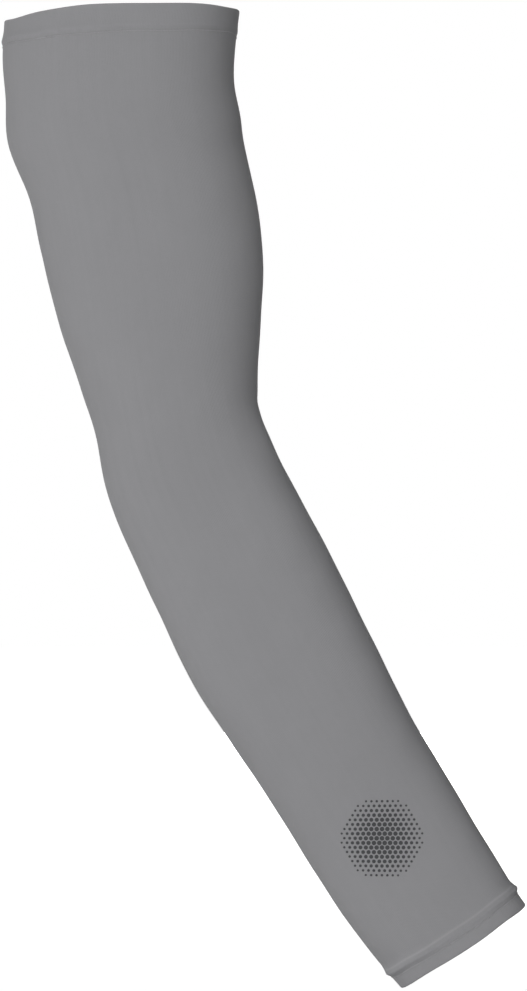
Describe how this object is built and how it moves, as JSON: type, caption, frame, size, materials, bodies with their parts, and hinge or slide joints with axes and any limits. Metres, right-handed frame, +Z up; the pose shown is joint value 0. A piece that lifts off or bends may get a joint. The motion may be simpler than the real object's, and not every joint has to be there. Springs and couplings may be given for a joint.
{
  "type": "arm compression sleeve",
  "caption": "Tapered knitted compression sleeve for the arm, upper arm to wrist, in the bent form it has when worn, with a folded and stitched hem at each end.",
  "frame": {"origin": "centre of the upper opening, where the arm goes in", "axes": "+Z up, +X towards the side that the forearm points to, +Y to the back; the arm bends in the XZ plane"},
  "size_m": [0.2069, 0.0888, 0.3863],
  "materials": {
    "knit": "matt fine knit",
    "hem_knit": "matt fine knit, doubled and cover-stitched"
  },
  "bodies": {
    "root": {"knit_tube": "knit", "upper_hem": "hem_knit", "wrist_hem": "hem_knit"}
  },
  "joints": []
}
